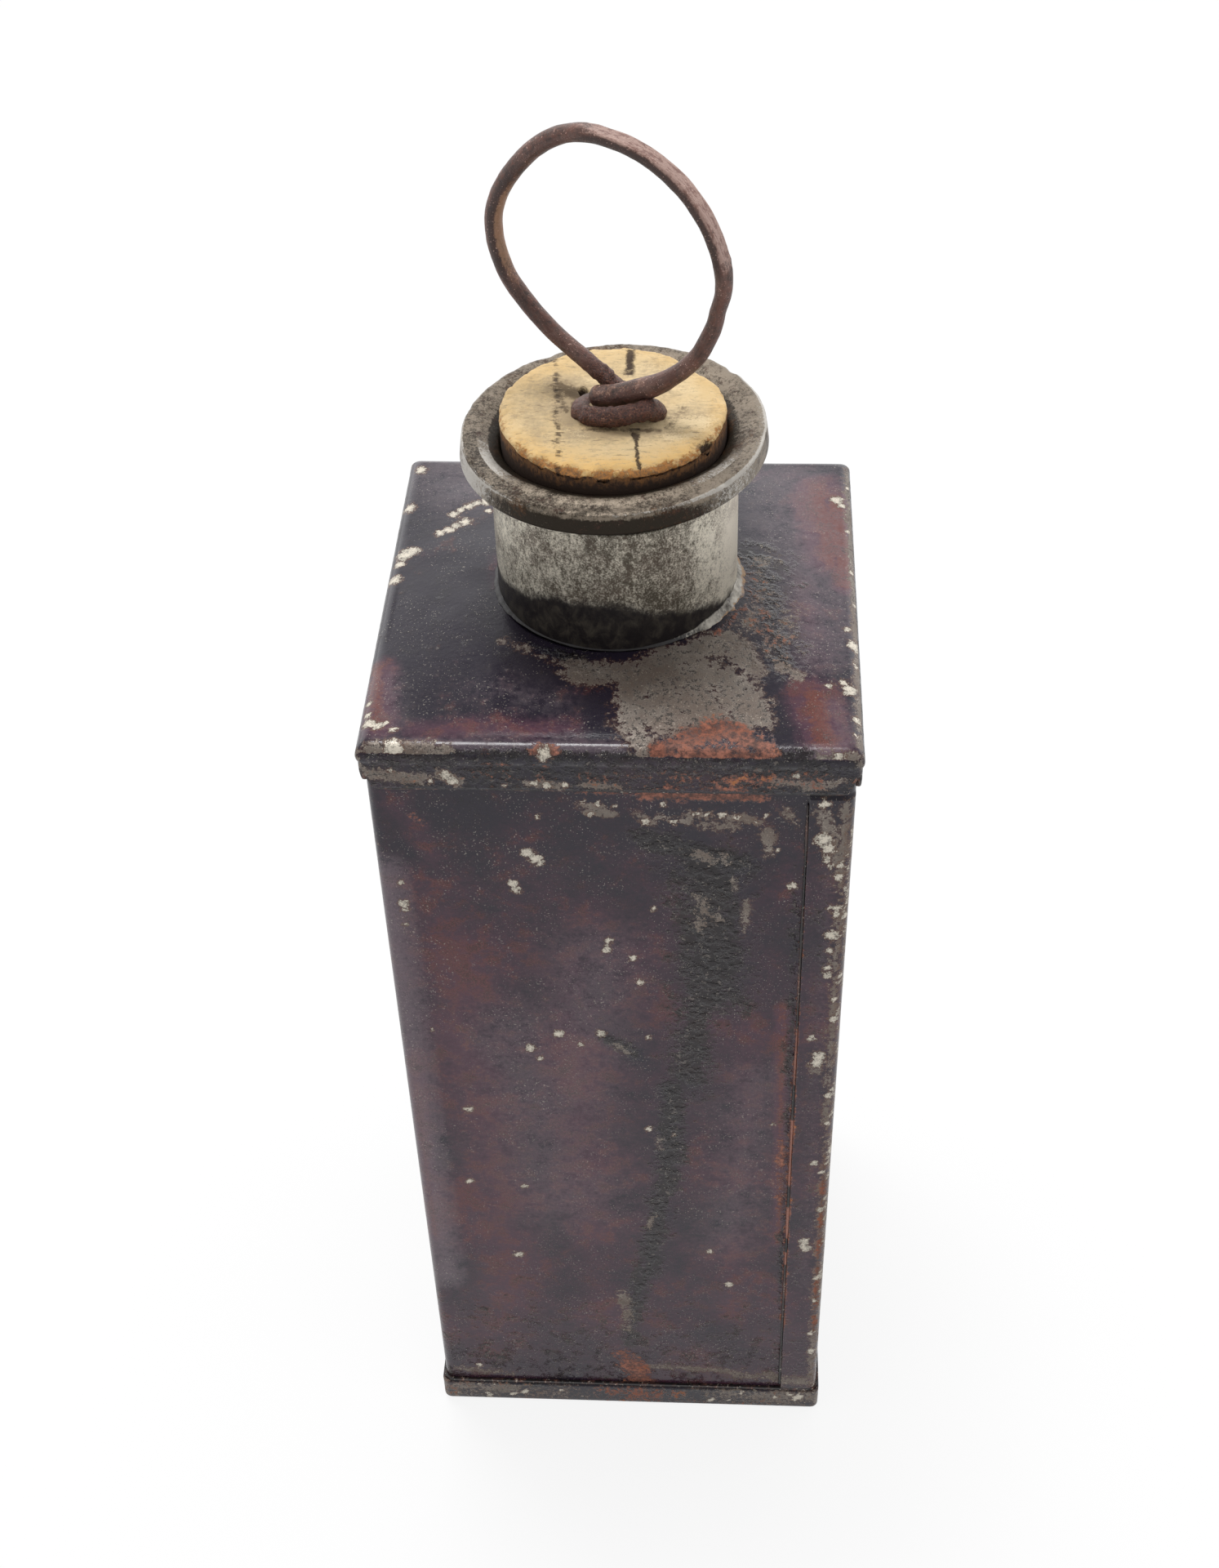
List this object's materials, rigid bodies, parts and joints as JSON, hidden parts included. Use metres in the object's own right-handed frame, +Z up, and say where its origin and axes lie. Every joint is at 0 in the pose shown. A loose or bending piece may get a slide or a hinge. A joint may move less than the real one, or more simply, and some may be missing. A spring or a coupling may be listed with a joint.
{
  "type": "medicine tin",
  "caption": "Tall square japanned tinplate medicine tin with soldered round neck, flared lip and a cork stopper pulled by a finger-ring wire corkscrew.",
  "frame": {"origin": "centre of the base, on the surface that the tin stands on", "axes": "+Z up along the neck, -Y out of the front face with the lap seam, +X to the right seen from the front"},
  "size_m": [0.0554, 0.0554, 0.1868],
  "materials": {
    "japanned_sheet": "worn dark japanning",
    "bare_tin": "dull mottled tin",
    "dulled_lip": "tarnished",
    "solder": "dull solder",
    "cork": "cut cork",
    "rusted_wire": "rusted"
  },
  "bodies": {
    "tin": {"body_sheet": "japanned_sheet", "bottom_pan": "japanned_sheet", "shoulder_plate": "japanned_sheet", "neck_tube": "bare_tin", "lip_ring": "dulled_lip", "side_seam_solder": "solder", "shoulder_solder": "solder", "bottom_solder": "solder", "neck_base_solder": "solder", "neck_seam_solder": "solder"},
    "stopper": {"cork": "cork", "wire_corkscrew": "rusted_wire"}
  },
  "joints": [
    {"name": "stopper_pull", "type": "slide", "parent": "tin", "child": "stopper", "axis": [0, 0, 1], "range_m": [0, 0.05]}
  ]
}
